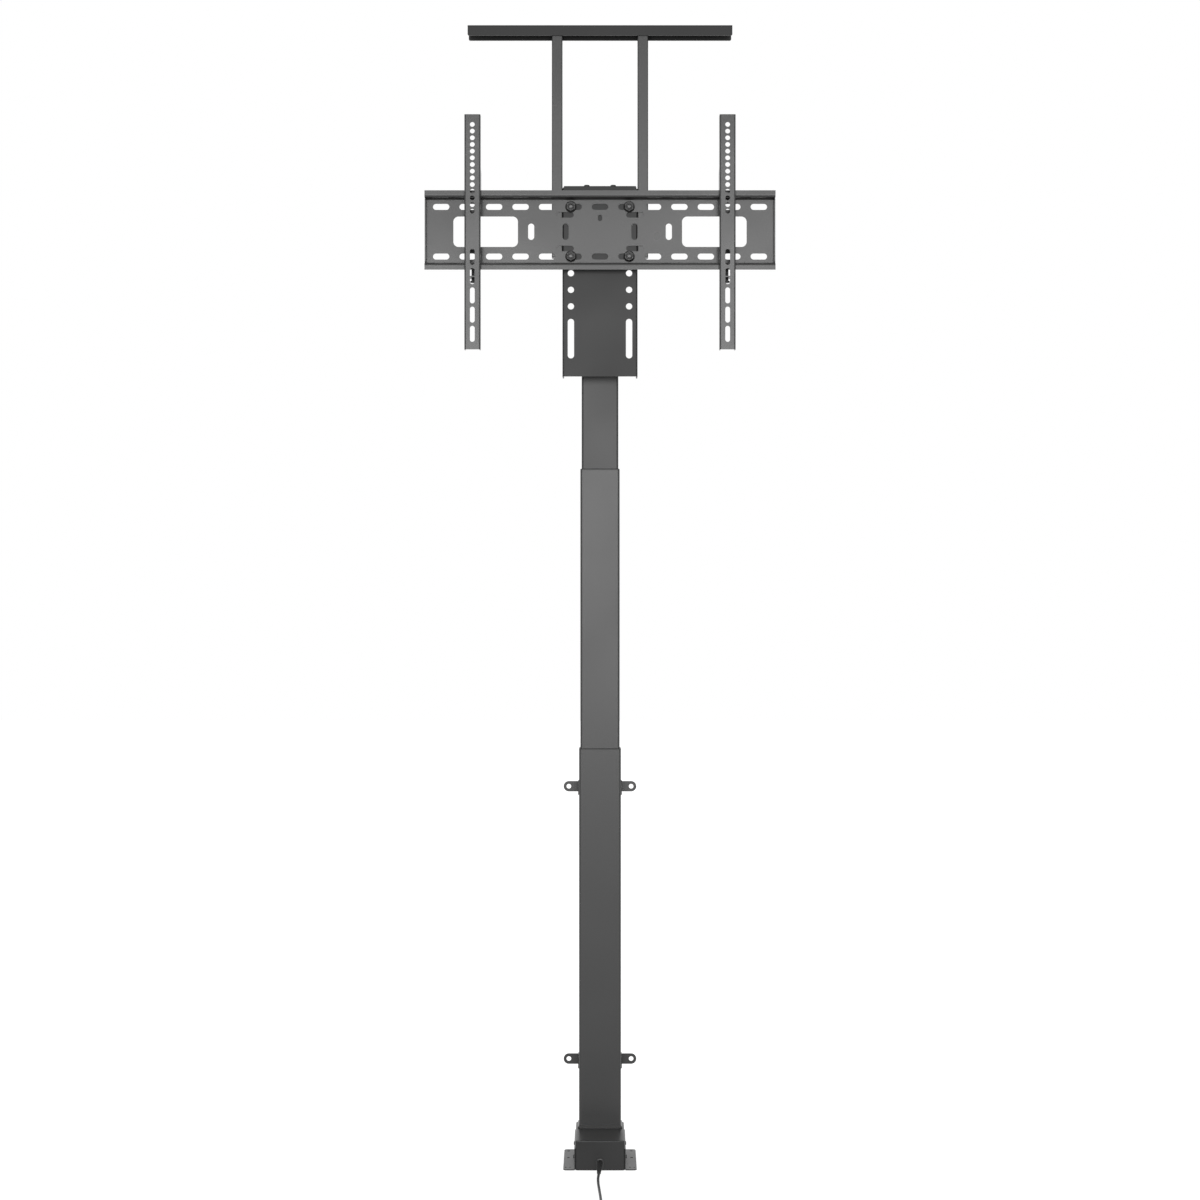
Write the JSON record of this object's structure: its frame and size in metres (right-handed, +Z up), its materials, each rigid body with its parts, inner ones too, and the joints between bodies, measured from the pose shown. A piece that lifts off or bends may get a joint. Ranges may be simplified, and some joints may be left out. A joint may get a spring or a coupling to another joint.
{
  "type": "electric screen lift",
  "caption": "Floor-standing electric lift column for a screen: telescoping tubes on a motor base, slotted rail with sliding hook-on arms, and a lid frame above.",
  "frame": {"origin": "on the floor under the column's axis, on the underside of the base plate", "axes": "+Z up along the column, +X across to the right as seen from the screen side, -Y towards the screen"},
  "size_m": [0.66, 0.47, 2.147],
  "materials": {
    "housing_paint": "black powder coat on sheet steel",
    "column_paint": "satin dark grey powder coat",
    "head_paint": "satin dark grey powder coat",
    "black_zinc": "black zinc plated steel",
    "black_nylon": "moulded black nylon",
    "die_casting": "die cast",
    "motor_steel": "rolled steel can",
    "bright_steel": "ground steel",
    "cord_rubber": "matt flexible sheath",
    "connector_plastic": "moulded plug with a metal collar"
  },
  "bodies": {
    "base": {"base_cover": "housing_paint", "base_plate": "housing_paint", "foot_left": "housing_paint", "foot_right": "housing_paint", "foot_screws": "black_zinc", "gear_case": "die_casting", "case_screws": "black_zinc", "motor": "motor_steel", "motor_screws": "black_zinc", "lower_bearing": "bright_steel", "base_collar": "column_paint", "outer_tube": "column_paint", "column_screws": "black_zinc", "outer_ring": "black_nylon", "wall_lug_lower_left": "column_paint", "wall_lug_lower_right": "column_paint", "wall_lug_upper_left": "column_paint", "wall_lug_upper_right": "column_paint", "cord_gland": "cord_rubber", "cord": "cord_rubber", "cord_coil": "cord_rubber", "cord_tail": "cord_rubber", "connector": "connector_plastic"},
    "lower_screw": {"lower_spindle": "bright_steel"},
    "middle": {"middle_tube": "column_paint", "middle_ring": "black_nylon", "middle_pads": "black_nylon", "lower_nut": "black_nylon", "upper_bearing": "bright_steel"},
    "upper_screw": {"upper_spindle": "bright_steel", "drive_bush": "bright_steel"},
    "head": {"inner_tube": "column_paint", "inner_pads": "black_nylon", "upper_nut": "black_nylon", "head_plug": "black_nylon", "head_carrier": "column_paint", "head_bracket": "head_paint", "head_screws": "black_zinc", "rail_plate": "head_paint", "rail_bolts": "black_zinc", "rail_washers": "black_zinc", "rail_nuts": "black_zinc", "upright_left": "head_paint", "upright_right": "head_paint", "upright_screws": "black_zinc", "upright_plugs": "black_nylon", "lid_inserts": "black_zinc", "lid_bar": "head_paint", "lid_screws": "black_zinc"},
    "left_arm": {"arm_left": "head_paint"},
    "right_arm": {"arm_right": "head_paint"},
    "left_lock": {"lock_screw_left": "black_zinc"},
    "right_lock": {"lock_screw_right": "black_zinc"}
  },
  "joints": [
    {"name": "middle_slide", "type": "slide", "parent": "base", "child": "middle", "axis": [0, 0, 1], "range_m": [-0.5, 0]},
    {"name": "inner_slide", "type": "slide", "parent": "middle", "child": "head", "axis": [0, 0, 1], "range_m": [-0.5, 0]},
    {"name": "lower_screw_turn", "type": "hinge", "parent": "base", "child": "lower_screw", "pos_m": [0, 0, 0.3], "axis": [0, 0, 1], "range_deg": [-9010, 10]},
    {"name": "upper_screw_turn", "type": "hinge", "parent": "middle", "child": "upper_screw", "pos_m": [0, 0, 0.9], "axis": [0, 0, 1], "range_deg": [-9010, 10]},
    {"name": "left_arm_slide", "type": "slide", "parent": "head", "child": "left_arm", "axis": [-1, 0, 0], "range_m": [-0.139, 0.061]},
    {"name": "right_arm_slide", "type": "slide", "parent": "head", "child": "right_arm", "axis": [1, 0, 0], "range_m": [-0.139, 0.061]},
    {"name": "left_lock_travel", "type": "slide", "parent": "left_arm", "child": "left_lock", "axis": [0, 0, 1], "range_m": [-0.012, 0]},
    {"name": "right_lock_travel", "type": "slide", "parent": "right_arm", "child": "right_lock", "axis": [0, 0, 1], "range_m": [-0.012, 0]}
  ],
  "couplings": [
    {"joint": "inner_slide", "follows": "middle_slide", "ratio": 1},
    {"joint": "lower_screw_turn", "follows": "middle_slide", "rad_per_m": 314.16},
    {"joint": "upper_screw_turn", "follows": "middle_slide", "rad_per_m": 314.16}
  ]
}
